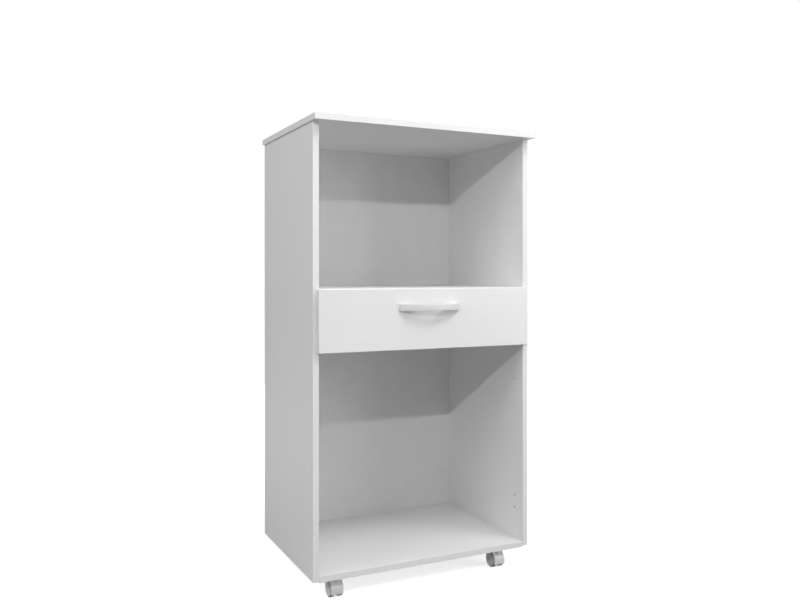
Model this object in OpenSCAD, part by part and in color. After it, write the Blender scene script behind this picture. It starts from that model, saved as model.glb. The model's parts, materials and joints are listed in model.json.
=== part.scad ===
// Rolling microwave rack: two open bays, one drawer on roller slides, four twin-wheel castors.
// Millimetres. X is to the right, Y to the back, Z up. Z = 0 is the floor, X = 0 the middle of
// the width, Y = 0 the middle of the whole depth with the drawer handle.

/* [Cabinet] */
// Width over the two side panels
cabinet_w = 590; // [480:5:800]
// Height of the side panels
side_h = 1056; // [900:1:1400]
// Depth from the front edges to the outer face of the back panel
cabinet_d = 392; // [330:1:560]
// Thickness of the coated boards
board_t = 15; // [15:0.5:19]
// Radius of the board edges
edge_r = 0.8; // [0.4:0.1:1.5]
// Height of the shelf's upper face above the lower ends of the side panels
shelf_height = 672; // [560:1:800]
// How far the bottom board's underside lies below the side panels
bottom_drop = 3; // [0:0.5:5]

/* [Top board] */
// Thickness of the top board
top_t = 15; // [15:0.5:30]
// How far the top board passes each side panel
top_side_lap = 5; // [0:0.5:30]
// How far the top board passes the front edges of the side panels
top_front_lap = 28; // [5:1:60]

/* [Back panel] */
// Thickness of the back panel
back_t = 3; // [2.5:0.1:5]
// How far the back panel's sides and lower edge stay inside the outline of the side panels
back_inset = 1; // [0.5:0.1:3]
// Diameter of the nail shanks
nail_d = 1.4; // [1:0.1:2]
// Diameter of the nail heads
nail_head_d = 4; // [3:0.1:5]
// Length of the nails
nail_l = 20; // [15:1:25]
// Number of nails along each side panel
nail_rows = 7; // [4:1:10]
// Number of nails along each board edge
nail_cols = 3; // [2:1:5]

/* [Board joints] */
// Distance from the end of a board to the middle of its cam lock
cam_reach = 34; // [24:1:40]
// Diameter of the cam locks
cam_d = 15; // [13:0.5:16]
// Height of the cam locks
cam_h = 11.8; // [11.4:0.1:12]
// Diameter of the screwed part of the cam bolts
bolt_thread_d = 7; // [5:0.1:8]
// Length of the screwed part of the cam bolts
bolt_thread_l = 10.5; // [8:0.5:11]
// Diameter of the cam bolt's neck
bolt_neck_d = 5; // [4:0.1:6]
// Diameter of the cam bolt's head
bolt_head_d = 6.6; // [6:0.1:7]
// Distance from the front and back edges of a board to its cam locks
cam_inset = 84; // [75:1:110]
// Distance from the front and back edges of a board to its dowels
dowel_inset = 52; // [40:1:60]
// Diameter of the dowels
dowel_d = 8; // [6:0.5:8]
// Length of the dowels
dowel_l = 30; // [25:1:35]
// Diameter of the caps over the cam locks in the upper bay
cap_d = 17; // [16.5:0.1:20]
// Thickness of those caps
cap_t = 0.9; // [0.6:0.1:1.5]

/* [Hinge-plate holes] */
// Distance between the two holes of a pair
hinge_pitch = 32; // [25:1:40]
// Distance from the front edge to the holes
hinge_setback = 37; // [28:0.5:45]
// Distance from each end of the door opening to the middle of a pair
hinge_inset = 108; // [70:1:140]
// Diameter of the holes
hinge_hole_d = 5; // [3:0.1:8]
// Depth of the holes
hinge_hole_l = 11; // [8:0.5:12]

/* [Drawer] */
// How far the drawer front's lower edge lies below the shelf's upper face
front_drop = 148; // [140:1:200]
// How far the drawer front's upper edge lies below the shelf's upper face
front_top_gap = 1; // [0:0.5:4]
// How far the drawer front laps over each side panel
front_lap = 5; // [2:0.5:12]
// Thickness of the drawer front
front_t = 12; // [11:0.5:19]
// Gap between the closed drawer front and the cabinet
front_gap = 0.8; // [0.5:0.1:2]
// Height of the drawer sides
box_h = 105; // [85:1:108]
// Thickness of the drawer sides and back
box_t = 12; // [11:0.5:15]
// Height of the drawer sides' lower edge above the drawer front's lower edge
box_lift = 14; // [8:1:16]
// Thickness of the drawer bottom
floor_t = 3; // [2.5:0.1:5]
// Height of the groove for the drawer bottom above the drawer sides' lower edge
groove_lift = 8; // [6:0.5:12]
// Depth of the groove for the drawer bottom
groove_d = 5; // [3:0.5:6]
// Distance from the end of a drawer side to the middle of its cam lock
box_cam_reach = 24; // [20:1:30]
// Diameter of the cam locks in the drawer sides
box_cam_d = 12; // [10:0.5:14]
// Height of the cam locks in the drawer sides
box_cam_h = 9.2; // [9:0.1:9.6]
// Diameter of the bumper pads
bumper_d = 8; // [6:0.5:10]

/* [Handle] */
// Length of the handle
handle_l = 160; // [140:1:200]
// How far the handle stands out from the drawer front
handle_reach = 28; // [22:0.5:40]
// Width of each handle foot
handle_foot = 22; // [16:0.5:26]
// Thickness of the handle at its two ends
handle_end_t = 5; // [2:0.1:7]
// Thickness of the bow at its middle
handle_t = 6; // [4:0.5:8]
// Height of the handle at its feet
handle_h = 16; // [12:0.5:24]
// How much lower the handle is at its middle
handle_waist = 2.4; // [0.5:0.1:4]
// Distance between the two handle screws
handle_pitch = 128; // [118:0.5:134]
// Height of the handle's middle above the middle of the drawer front
handle_rise = 28.5; // [0:0.5:40]
// Diameter of the handle screws
handle_screw_d = 4; // [3:0.1:5]

/* [Roller slides] */
// Space between a cabinet side panel and the drawer side
slide_space = 12.5; // [12.5:0.1:14]
// Thickness of the rail sheet
rail_t = 1.2; // [1:0.1:1.5]
// Radius of the rollers
roller_r = 8.5; // [7:0.1:9]
// Width of the rollers
roller_w = 5; // [4:0.1:5.2]
// Diameter of the roller pins
roller_pin_d = 5; // [4:0.1:6]
// Distance from a rail's end to the middle of its roller
roller_setback = 13; // [11:0.5:20]
// Length of a slide that stays in the cabinet when the drawer is fully out
slide_overlap = 90; // [70:1:120]
// Height of the drawer rail's web
rail_web_h = 34; // [33:0.5:40]
// Diameter of the rail screws' heads
rail_head_d = 7; // [5:0.1:7.5]
// Diameter of the rail screws' shanks
rail_screw_d = 3.4; // [2.5:0.1:4]

/* [Castors] */
// Height of a castor, from the floor to the bottom board
castor_h = 55; // [52:0.5:60]
// Diameter of the castor wheels
wheel_d = 40; // [36:0.5:41]
// Width over both wheels of a castor
castor_w = 36; // [34:0.5:44]
// Space between the two treads of a castor
tread_gap = 11; // [9:0.1:12]
// Thickness of the tread ring
tread_t = 2; // [1.5:0.1:3]
// Distance from the swivel pin back to the axle
castor_offset = 10; // [8:0.5:12]
// Distance from the outer face of a side panel to the swivel pin
castor_side = 70; // [60:1:100]
// Distance from the front edge of the bottom board to the front swivel pins
castor_front = 37; // [32:1:45]
// Distance from the back of the cabinet to the rear swivel pins
castor_back = 36; // [35:1:40]
// Side of the square mounting plate
plate_w = 40; // [38:0.5:46]
// Thickness of the mounting plate
plate_t = 2; // [1.5:0.1:2.5]
// Distance between neighbouring screws of the mounting plate
plate_pitch = 30; // [28:0.5:31]
// Thickness of the hood over the wheels
hood_t = 2; // [1.6:0.1:2.4]
// Width of the hood, between the bulging outer faces of the wheels
hood_w = 31.5; // [28:0.5:31.5]
// How far the hood's front reaches below the height of the axle, as an angle
hood_front_angle = 25; // [5:1:35]
// How far the hood's rear end stays above the height of the axle, as an angle
hood_rear_angle = 28; // [10:1:60]
// Diameter of the swivel pin
swivel_d = 8; // [6:0.1:9]
// Diameter of the axle
axle_d = 6; // [4:0.1:7]

/* [Hidden] */
$fn = 48;

// Which side of the rack and which row of castors a piece belongs to
LEFT = -1;
RIGHT = 1;
FRONT = 0;
REAR = 1;
// Small overrun that lets a cut pass a face
cut = 0.5;
// Radial clearance of a pin or a shaft that turns in its bore
run_fit = 0.05;
// Clearance of a fixed piece in its hole
seat_fit = 0.05;
// Space at the end of a blind hole
end_room = 0.5;
// What is left of a board behind a screw
hole_floor = 3;
// Side and end play of the rollers and the swivel's parts
side_play = 0.3;

// Cabinet
inner_w = cabinet_w - 2 * board_t;
side_d = cabinet_d - back_t;
front_reach = max(top_front_lap, front_gap + front_t + handle_reach);
front_y = (front_reach - cabinet_d) / 2;
back_y = front_y + side_d;
side_z = castor_h + bottom_drop;
top_z = side_z + side_h;
shelf_top_z = side_z + shelf_height;
shelf_mid_z = shelf_top_z - board_t / 2;
bottom_mid_z = castor_h + board_t / 2;
cam_ys = [front_y + cam_inset, back_y - cam_inset];
dowel_ys = [front_y + dowel_inset, back_y - dowel_inset];
dowel_in = 10;
cam_recess = 0.2;
side_mid_x = (cabinet_w - board_t) / 2;
driver_w = 1.6;
driver_l = 8;
driver_depth = 2;
cap_plug_d = 3.4;
cap_plug_l = 1.6;

// Drawer, closed
box_w = inner_w - 2 * slide_space;
box_inner_w = box_w - 2 * box_t;
slide_step = 50;
slide_back_room = 20;
slide_l = slide_step * floor((side_d - slide_back_room) / slide_step);
front_w = inner_w + 2 * front_lap;
front_z = shelf_top_z - front_drop;
front_h = front_drop - front_top_gap;
box_y = front_y - front_gap;
box_z = front_z + box_lift;
floor_z = box_z + groove_lift;
groove_play = 0.2;
box_cam_low = 31.5;
box_cam_high = 26.5;
box_cam_zs = [box_z + box_cam_low, box_z + box_h - box_cam_high];
box_thread_d = 5;
box_thread_l = front_t - hole_floor;
box_neck_d = 4;
box_head_d = 5;
back_screw_low = 36.5;
back_screw_high = 26.5;
back_screw_zs = [box_z + back_screw_low, box_z + box_h - back_screw_high];
back_screw_d = 3.5;
back_screw_head_d = 7;
back_screw_l = 40;
bumper_play = 0.1;
bumper_inset = 20;
bumper_x = inner_w / 2 - bumper_inset;
handle_z = front_z + front_h / 2 + handle_rise;
handle_screw_in = 8;
handle_head_d = 8;
handle_head_t = 2.4;
// the length of a foot that keeps the full height, outside the waist
handle_pad = 14;

// Roller slides: u runs from the side panel to the drawer, v up from the cabinet rail
rail_front_gap = 2;
rail_y = front_y + rail_front_gap;
rail_lift = 1;
rail_z = box_z + rail_lift;
rail_lap = 0.4;
rail_depth = slide_space - 2 * rail_t + rail_lap;
roller_u = 3.6;
front_roller_v = rail_t + side_play + roller_r;
rear_roller_v = rail_t + run_fit + roller_r;
flange_v = front_roller_v + roller_r + run_fit;
flange_play = 0.7;
rail_h = flange_v + 2 * rail_t + flange_play;
flange_u = 2.4;
web_u = slide_space - rail_t;
front_roller_y = rail_y + roller_setback;
drawer_rail_y = box_y + rail_front_gap;
drawer_rail_l = slide_l - rail_front_gap;
rear_roller_y = drawer_rail_y + drawer_rail_l - roller_setback;
slide_travel = slide_l - slide_overlap;
stop_r = 2;
stop_y = rear_roller_y - slide_travel
    - sqrt(pow(roller_r + stop_r + run_fit, 2) - pow(roller_r + run_fit, 2));
rail_head_t = 1;
pin_head_t = 0.7;
pin_head_d = roller_pin_d + 3;
rail_screw_v = rail_h / 2;
rail_screw_front = 37;
rail_screw_rear = 45;
rail_screw_ys = [rail_y + rail_screw_front, rail_y + slide_l / 2,
    rail_y + slide_l - rail_screw_rear];
drawer_screw_rise = 1.5;
drawer_screw_v = rail_h + rail_head_d / 2 + drawer_screw_rise;
drawer_screw_front = 30;
drawer_screw_rear = 60;
drawer_screw_ys = [drawer_rail_y + drawer_screw_front, drawer_rail_y + slide_l / 2,
    drawer_rail_y + slide_l - drawer_screw_rear];
slot_l = 9;
slot_step = 32;
rail_screw_in = board_t - hole_floor;
drawer_screw_in = box_t - hole_floor;
foot_w = 12;

// Castors
castor_x = cabinet_w / 2 - castor_side;
castor_ys = [front_y + castor_front, front_y + cabinet_d - castor_back];
wheel_r = wheel_d / 2;
axle_v = wheel_r - castor_h;
well_play = 1.2;
well_r = wheel_r + well_play;
hood_r = well_r + hood_t;
hood_round = 2;
web_play = 0.5;
tread_step = 0.5;
wheel_in = tread_gap / 2 - tread_step;
web_half = wheel_in - web_play;
wheel_out = castor_w / 2;
dome_h = 2.2;
core_r = wheel_r - tread_t;
hub_wall = 2.6;
hub_r = axle_d / 2 + hub_wall;
rim_wall = 1.6;
rib_t = 1.2;
ribs = 6;
dish_ring = 5;
dish_d = swivel_d + 2 * dish_ring;
dish_drop = plate_t;
neck_wall = 3.5;
neck_d = swivel_d + 2 * neck_wall;
neck_v = -dish_drop - plate_t - side_play;
pin_head_v = -0.4;
pin_head_play = 0.5;
swivel_in = 12;
swivel_end_v = neck_v - swivel_in;
neck_end_v = axle_v + hub_r;
plate_screw_d = 4;
plate_head_d = 7.5;
plate_head_top_d = 5.5;
plate_head_t = 2.2;
plate_screw_in = board_t - hole_floor;

// Helpers

// A rectangle with round corners, its lower left corner at the origin
module round_rect(size, r) {
    translate([r, 0]) square([size[0] - 2 * r, size[1]]);
    translate([0, r]) square([size[0], size[1] - 2 * r]);
    for (x = [r, size[0] - r], y = [r, size[1] - r]) translate([x, y]) circle(r);
}

// Extrudes a drawing of X and Z along Y
module along_y(y, l) {
    translate([0, y + l, 0]) rotate([90, 0, 0]) linear_extrude(l) children();
}

// Extrudes a drawing of Y and Z along X
module along_x(x, l) {
    translate([x, 0, 0]) rotate([90, 0, 90]) linear_extrude(l) children();
}

// A bar of round section that runs along X from x to x + l
module rod_x(x, l, d) {
    translate([x, 0, 0]) rotate([0, 90, 0]) cylinder(h = l, d = d);
}

// A bar of round section that runs along Y from y to y + l
module rod_y(y, l, d) {
    translate([0, y + l, 0]) rotate([90, 0, 0]) cylinder(h = l, d = d);
}

// Board joints. In a joint's own frame x runs from the joint into the board that holds the cam,
// and the cam opens towards negative z.

module cam_lock(reach, d, h, head_d, t) {
    mouth = -t / 2 + cam_recess;
    slot_play = 0.6;
    difference() {
        translate([reach, 0, mouth]) cylinder(h = h - cam_recess, d = d - 2 * seat_fit);
        rod_x(reach - d, d + d / 4, head_d + slot_play);
        translate([reach, 0, mouth - cut]) {
            for (a = [45, 135]) rotate(a) translate([-driver_l / 2, -driver_w / 2, 0])
                cube([driver_l, driver_w, driver_depth + cut]);
            cylinder(h = driver_depth + cut, d = cap_plug_d + 2 * seat_fit);
        }
    }
}

module cam_bolt(reach, thread_d, thread_l, neck_d, head_d) {
    head_l = 4;
    rod_x(-thread_l, thread_l, thread_d - 2 * seat_fit);
    rod_x(0, reach - head_l / 2, neck_d);
    rod_x(reach - head_l / 2, head_l, head_d);
}

// What a cam and its bolt take out of the two boards that they join
module cam_cuts(reach, d, h, thread_d, thread_l, head_d, t) {
    rod_x(-thread_l - end_room, thread_l + end_room + cut, thread_d);
    rod_x(-cut, reach, head_d + 2 * end_room);
    translate([reach, 0, -t / 2 - cut]) cylinder(h = h + cut + cam_recess, d = d);
}

module dowel() {
    rod_x(-dowel_in, dowel_l, dowel_d - 2 * seat_fit);
}

module dowel_cuts() {
    rod_x(-dowel_in - end_room, dowel_l + 2 * end_room, dowel_d);
}

// Places a joint at one end of a board that lies between the side panels
module at_board_end(side, z, ys) {
    for (y = ys) translate([side * inner_w / 2, y, z]) mirror([side == RIGHT ? 1 : 0, 0, 0])
        children();
}

// Places a joint between a side panel's upper end and the top board
module at_panel_top(side, ys) {
    for (y = ys) translate([side * side_mid_x, y, top_z]) mirror([side == LEFT ? 1 : 0, 0, 0])
        rotate([0, 90, 0]) children();
}

// Places a joint between a drawer side and the drawer front
module at_drawer_corner(side) {
    for (z = box_cam_zs) translate([side * (box_w - box_t) / 2, box_y, z])
        mirror([side == LEFT ? 1 : 0, 0, 0]) rotate([90, 0, 90]) children();
}

module board_cam_cuts() {
    cam_cuts(cam_reach, cam_d, cam_h, bolt_thread_d, bolt_thread_l, bolt_head_d, board_t);
}

module drawer_cam_cuts() {
    cam_cuts(box_cam_reach, box_cam_d, box_cam_h, box_thread_d, box_thread_l, box_head_d, box_t);
}

module end_joint_cuts(side, z) {
    at_board_end(side, z, cam_ys) board_cam_cuts();
    at_board_end(side, z, dowel_ys) dowel_cuts();
}

module top_joint_cuts(side) {
    at_panel_top(side, cam_ys) board_cam_cuts();
    at_panel_top(side, dowel_ys) dowel_cuts();
}

// Back panel nails. Each is [x, z] of its axis.
back_h = side_h - back_inset;
function side_nails(side) = [for (i = [0 : nail_rows - 1])
    [side * side_mid_x, side_z + back_inset + back_h * (i + 0.5) / nail_rows]];
function board_nails(z) = [for (i = [0 : nail_cols - 1])
    [inner_w * ((i + 0.5) / nail_cols - 0.5), z]];
nails = concat(side_nails(LEFT), side_nails(RIGHT), board_nails(shelf_mid_z),
    board_nails(bottom_mid_z));

module nail(play) {
    nail_head_t = 0.6;
    out_y = back_y + back_t;
    rod_y(out_y - nail_l - play, nail_l + play - nail_head_t, nail_d + 2 * play);
    rod_y(out_y - nail_head_t - play, nail_head_t + play * 2, nail_head_d + 2 * play);
}

module at_nails(list) {
    for (p = list) translate([p[0], 0, p[1]]) children();
}

// Cabinet boards

module side_panel(side) {
    inner_x = side * inner_w / 2;
    difference() {
        translate([side == LEFT ? -cabinet_w / 2 : inner_w / 2, front_y, side_z])
            linear_extrude(side_h) round_rect([board_t, side_d], edge_r);
        end_joint_cuts(side, shelf_mid_z);
        end_joint_cuts(side, bottom_mid_z);
        top_joint_cuts(side);
        at_nails(side_nails(side)) nail(seat_fit);
        for (p = [hinge_inset, shelf_height - front_drop - hinge_inset], s = [-1, 1])
            translate([inner_x - (side == LEFT ? hinge_hole_l : cut), front_y + hinge_setback,
                side_z + p + s * hinge_pitch / 2]) rod_x(0, hinge_hole_l + cut, hinge_hole_d);
        at_slide(side) cabinet_screw_cuts();
    }
}

module left_side() {
    color("white") side_panel(LEFT);
}

module right_side() {
    color("white") side_panel(RIGHT);
}

module top_board() {
    w = cabinet_w + 2 * top_side_lap;
    d = cabinet_d + top_front_lap;
    color("white") difference() {
        intersection() {
            along_x(-w / 2, w) translate([front_y - top_front_lap, top_z])
                round_rect([d, top_t], edge_r);
            along_y(front_y - top_front_lap, d) translate([-w / 2, top_z])
                round_rect([w, top_t], edge_r);
        }
        for (side = [LEFT, RIGHT]) top_joint_cuts(side);
    }
}

// A board that lies between the side panels
module cross_board(mid_z) {
    difference() {
        along_x(-inner_w / 2, inner_w) translate([front_y, mid_z - board_t / 2])
            round_rect([side_d, board_t], edge_r);
        for (side = [LEFT, RIGHT]) end_joint_cuts(side, mid_z);
        at_nails(board_nails(mid_z)) nail(seat_fit);
        children();
    }
}

module bottom_board() {
    color("white") cross_board(bottom_mid_z) {
        for (side = [LEFT, RIGHT], row = [FRONT, REAR]) at_castor(side, row)
            at_plate_screws() translate([0, 0, -cut])
                cylinder(h = plate_screw_in + end_room + cut, d = plate_screw_d);
    }
}

module microwave_shelf() {
    color("white") cross_board(shelf_mid_z);
}

module back_panel() {
    w = cabinet_w - 2 * back_inset;
    color("white") difference() {
        translate([-w / 2, back_y, side_z + back_inset]) cube([w, back_t, back_h]);
        at_nails(nails) nail(seat_fit);
    }
}

module back_nails() {
    color("silver") at_nails(nails) nail(0);
}

// Connectors of the cabinet

module cam_locks() {
    color("silver") for (side = [LEFT, RIGHT]) {
        for (z = [shelf_mid_z, bottom_mid_z]) at_board_end(side, z, cam_ys) board_cam_lock();
        at_panel_top(side, cam_ys) board_cam_lock();
    }
}

module board_cam_lock() {
    cam_lock(cam_reach, cam_d, cam_h, bolt_head_d, board_t);
}

module board_cam_bolt() {
    cam_bolt(cam_reach, bolt_thread_d, bolt_thread_l, bolt_neck_d, bolt_head_d);
}

module cam_bolts() {
    color("silver") for (side = [LEFT, RIGHT]) {
        for (z = [shelf_mid_z, bottom_mid_z]) at_board_end(side, z, cam_ys) board_cam_bolt();
        at_panel_top(side, cam_ys) board_cam_bolt();
    }
}

module dowels() {
    color("burlywood") for (side = [LEFT, RIGHT]) {
        for (z = [shelf_mid_z, bottom_mid_z]) at_board_end(side, z, dowel_ys) dowel();
        at_panel_top(side, dowel_ys) dowel();
    }
}

module cam_caps() {
    color("white") for (side = [LEFT, RIGHT]) at_panel_top(side, cam_ys)
        translate([cam_reach, 0, -board_t / 2]) {
            translate([0, 0, -cap_t]) cylinder(h = cap_t, d = cap_d);
            cylinder(h = cap_plug_l, d = cap_plug_d);
        }
}

// Drawer

module drawer_front() {
    color("white") difference() {
        intersection() {
            along_x(-front_w / 2, front_w) translate([box_y - front_t, front_z])
                round_rect([front_t, front_h], edge_r);
            translate([-front_w / 2, box_y - front_t, front_z])
                linear_extrude(front_h) round_rect([front_w, front_t], edge_r);
        }
        translate([-box_inner_w / 2 - groove_d, box_y - groove_d, floor_z])
            cube([box_inner_w + 2 * groove_d, groove_d + cut, floor_t + groove_play]);
        for (side = [LEFT, RIGHT]) at_drawer_corner(side) drawer_cam_cuts();
        at_handle_screws() rod_y(box_y - front_t - cut, front_t + 2 * cut,
            handle_screw_d + 4 * seat_fit);
    }
}

module drawer_side(side) {
    inner_x = side * box_inner_w / 2;
    difference() {
        translate([side == LEFT ? -box_w / 2 : box_inner_w / 2, box_y, box_z])
            cube([box_t, slide_l, box_h]);
        translate([inner_x - (side == LEFT ? groove_d : cut), box_y - cut, floor_z])
            cube([groove_d + cut, slide_l + 2 * cut, floor_t + groove_play]);
        at_drawer_corner(side) drawer_cam_cuts();
        at_back_screws(side) back_screw(seat_fit);
        at_slide(side) drawer_screw_cuts();
    }
}

module drawer_left_side() {
    color("white") drawer_side(LEFT);
}

module drawer_right_side() {
    color("white") drawer_side(RIGHT);
}

module drawer_back() {
    z = floor_z + floor_t + groove_play;
    color("white") difference() {
        translate([-box_inner_w / 2, box_y + slide_l - box_t, z])
            cube([box_inner_w, box_t, box_z + box_h - z]);
        for (side = [LEFT, RIGHT]) at_back_screws(side) back_screw(seat_fit);
    }
}

module drawer_bottom() {
    tongue = groove_d - groove_play;
    color("white") translate([-box_inner_w / 2 - tongue, box_y - tongue, floor_z])
        cube([box_inner_w + 2 * tongue, slide_l + tongue - groove_play, floor_t]);
}

module drawer_cam_locks() {
    color("silver") for (side = [LEFT, RIGHT]) at_drawer_corner(side)
        cam_lock(box_cam_reach, box_cam_d, box_cam_h, box_head_d, box_t);
}

module drawer_cam_bolts() {
    color("silver") for (side = [LEFT, RIGHT]) at_drawer_corner(side)
        cam_bolt(box_cam_reach, box_thread_d, box_thread_l - end_room, box_neck_d, box_head_d);
}

// Screws through the drawer sides into the drawer back, x pointing inwards
module at_back_screws(side) {
    for (z = back_screw_zs) translate([side * box_w / 2, box_y + slide_l - box_t / 2, z])
        mirror([side == RIGHT ? 1 : 0, 0, 0]) children();
}

module back_screw(play) {
    head_l = 2;
    rod_x(0, back_screw_l + play, back_screw_d + 2 * play);
    rod_x(play == 0 ? 0 : -cut, head_l + play + (play == 0 ? 0 : cut), back_screw_head_d + 2 * play);
}

module drawer_back_screws() {
    color("silver") for (side = [LEFT, RIGHT]) at_back_screws(side) back_screw(0);
}

module drawer_bumpers() {
    color("gainsboro") for (x = [-bumper_x, bumper_x]) translate([x, 0, shelf_mid_z])
        rod_y(box_y, front_gap - bumper_play, bumper_d);
}

// Handle

// The piece of a disc above y = 0 that is 2 * half wide and rise high
module disc_segment(half, rise) {
    r = (half * half + rise * rise) / (2 * rise);
    intersection() {
        translate([0, rise - r]) circle(r, $fn = 24 * ceil(sqrt(r)));
        translate([-half, 0]) square([2 * half, rise]);
    }
}

module drawer_handle() {
    face_y = box_y - front_t;
    half_l = handle_l / 2;
    waist_half = half_l - handle_pad;
    waist_r = (waist_half * waist_half + handle_waist * handle_waist / 4) / handle_waist;
    color("whitesmoke") difference() {
        translate([0, face_y, handle_z - handle_h / 2]) linear_extrude(handle_h)
            mirror([0, 1]) difference() {
                union() {
                    translate([-half_l, 0]) square([handle_l, handle_end_t + cut]);
                    translate([0, handle_end_t])
                        disc_segment(half_l, handle_reach - handle_end_t);
                }
                translate([0, -cut]) disc_segment(half_l - handle_foot,
                    handle_reach - handle_t + cut);
            }
        for (s = [-1, 1]) translate([0, 0, handle_z + s * (handle_h / 2 + waist_r - handle_waist / 2)])
            rod_y(face_y - handle_reach - cut, handle_reach + 2 * cut, 2 * waist_r,
                $fn = 24 * ceil(sqrt(waist_r)));
        at_handle_screws() rod_y(face_y - handle_screw_in - end_room,
            handle_screw_in + end_room + cut, handle_screw_d);
    }
}

module at_handle_screws() {
    for (s = [-1, 1]) translate([s * handle_pitch / 2, 0, handle_z]) children();
}

module handle_screws() {
    color("silver") at_handle_screws() {
        rod_y(box_y, handle_head_t, handle_head_d);
        rod_y(box_y - front_t - handle_screw_in, front_t + handle_screw_in,
            handle_screw_d - 2 * seat_fit);
    }
}

// Roller slides. In a slide's frame x is u and z is v.

module at_slide(side) {
    translate([side * inner_w / 2, 0, rail_z]) mirror([side == RIGHT ? 1 : 0, 0, 0]) children();
}

// A screw slot along Y, through a rail's sheet that starts at x = u
module rail_slot(u, y, v) {
    d = rail_screw_d + 2 * seat_fit;
    straight = slot_l - d;
    for (s = [-1, 1]) translate([0, y + s * straight / 2, v])
        rod_x(u - cut, rail_t + 2 * cut, d);
    translate([u - cut, y - straight / 2, v - d / 2]) cube([rail_t + 2 * cut, straight, d]);
}

module cabinet_rail(side) {
    at_slide(side) difference() {
        union() {
            along_y(rail_y, slide_l) difference() {
                square([rail_depth, rail_h]);
                translate([rail_t, rail_t]) square([rail_depth, rail_h - 2 * rail_t]);
            }
            translate([0, rail_y + slide_l - rail_t, 0])
                cube([rail_depth - cut, rail_t, rail_h]);
            intersection() {
                translate([0, stop_y, rail_t]) rod_x(0, rail_depth - cut, 2 * stop_r);
                translate([0, stop_y - stop_r, 0]) cube([rail_depth, 2 * stop_r, rail_h]);
            }
        }
        for (y = rail_screw_ys) {
            translate([0, y, rail_screw_v])
                rod_x(-cut, rail_t + 2 * cut, rail_screw_d + 2 * seat_fit);
            rail_slot(0, y + slot_step, rail_screw_v);
        }
        translate([0, front_roller_y, front_roller_v])
            rod_x(-cut, rail_t + 2 * cut, roller_pin_d + 2 * seat_fit);
    }
}

module left_cabinet_rail() {
    color("white") cabinet_rail(LEFT);
}

module right_cabinet_rail() {
    color("white") cabinet_rail(RIGHT);
}

module drawer_rail(side) {
    low_v = -(rail_z - box_z) - rail_t;
    at_slide(side) difference() {
        along_y(drawer_rail_y, drawer_rail_l) {
            translate([web_u, low_v]) square([rail_t, rail_web_h]);
            translate([web_u, low_v]) square([rail_t + foot_w, rail_t]);
            translate([flange_u, flange_v]) square([web_u + rail_t - flange_u, rail_t]);
        }
        for (y = drawer_screw_ys) {
            translate([web_u, y, drawer_screw_v])
                rod_x(-cut, rail_t + 2 * cut, rail_screw_d + 2 * seat_fit);
            rail_slot(web_u, y + slot_step, drawer_screw_v);
        }
        translate([web_u, rear_roller_y, rear_roller_v])
            rod_x(-cut, rail_t + 2 * cut, roller_pin_d + 2 * seat_fit);
    }
}

module left_drawer_rail() {
    color("white") drawer_rail(LEFT);
}

module right_drawer_rail() {
    color("white") drawer_rail(RIGHT);
}

module cabinet_screw_cuts() {
    for (y = rail_screw_ys) translate([0, y, rail_screw_v])
        rod_x(-rail_screw_in - end_room, rail_screw_in + end_room + cut, rail_screw_d);
}

module drawer_screw_cuts() {
    for (y = drawer_screw_ys) translate([0, y, drawer_screw_v])
        rod_x(slide_space - cut, drawer_screw_in + end_room + cut, rail_screw_d);
}

module cabinet_rail_screws() {
    color("silver") for (side = [LEFT, RIGHT]) at_slide(side)
        for (y = rail_screw_ys) translate([0, y, rail_screw_v]) {
            rod_x(-rail_screw_in, rail_screw_in + rail_t, rail_screw_d - 2 * seat_fit);
            rod_x(rail_t, rail_head_t, rail_head_d);
        }
}

module drawer_rail_screws() {
    color("silver") for (side = [LEFT, RIGHT]) at_slide(side)
        for (y = drawer_screw_ys) translate([0, y, drawer_screw_v]) {
            rod_x(web_u, rail_t + drawer_screw_in, rail_screw_d - 2 * seat_fit);
            rod_x(web_u - rail_head_t, rail_head_t, rail_head_d);
        }
}

module cabinet_roller_pins() {
    color("silver") for (side = [LEFT, RIGHT]) at_slide(side)
        translate([0, front_roller_y, front_roller_v]) {
            rod_x(0, roller_u + roller_w + side_play, roller_pin_d);
            rod_x(rail_t, roller_u - rail_t - side_play, pin_head_d);
            rod_x(roller_u + roller_w + side_play, pin_head_t, pin_head_d);
        }
}

module drawer_roller_pins() {
    head_u = roller_u - side_play;
    shoulder_u = roller_u + roller_w + side_play;
    color("silver") for (side = [LEFT, RIGHT]) at_slide(side)
        translate([0, rear_roller_y, rear_roller_v]) {
            rod_x(head_u, slide_space - head_u, roller_pin_d);
            rod_x(head_u - pin_head_t, pin_head_t, pin_head_d);
            rod_x(shoulder_u, web_u - shoulder_u, pin_head_d);
        }
}

// A roller with a ring groove in each face
module roller(side, y, v) {
    groove_w = 1.2;
    color("whitesmoke") at_slide(side) translate([roller_u, y, v]) rotate([0, 90, 0])
        rotate_extrude($fn = 64) difference() {
            translate([roller_pin_d / 2 + run_fit, 0])
                square([roller_r - roller_pin_d / 2 - run_fit, roller_w]);
            for (a = [0, roller_w]) translate([(roller_r + pin_head_d / 2) / 2, a])
                circle(d = groove_w, $fn = 24);
        }
}

module left_front_roller() {
    roller(LEFT, front_roller_y, front_roller_v);
}

module right_front_roller() {
    roller(RIGHT, front_roller_y, front_roller_v);
}

module left_rear_roller() {
    roller(LEFT, rear_roller_y, rear_roller_v);
}

module right_rear_roller() {
    roller(RIGHT, rear_roller_y, rear_roller_v);
}

// Castors. In a castor's frame the origin is on the swivel axis, at the bottom board's underside,
// and the axle lies behind the pin.

module at_castor(side, row) {
    translate([side * castor_x, castor_ys[row], castor_h]) children();
}

module at_plate_screws() {
    for (x = [-1, 1], y = [-1, 1])
        translate([x * plate_pitch / 2, y * plate_pitch / 2, 0]) children();
}

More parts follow.
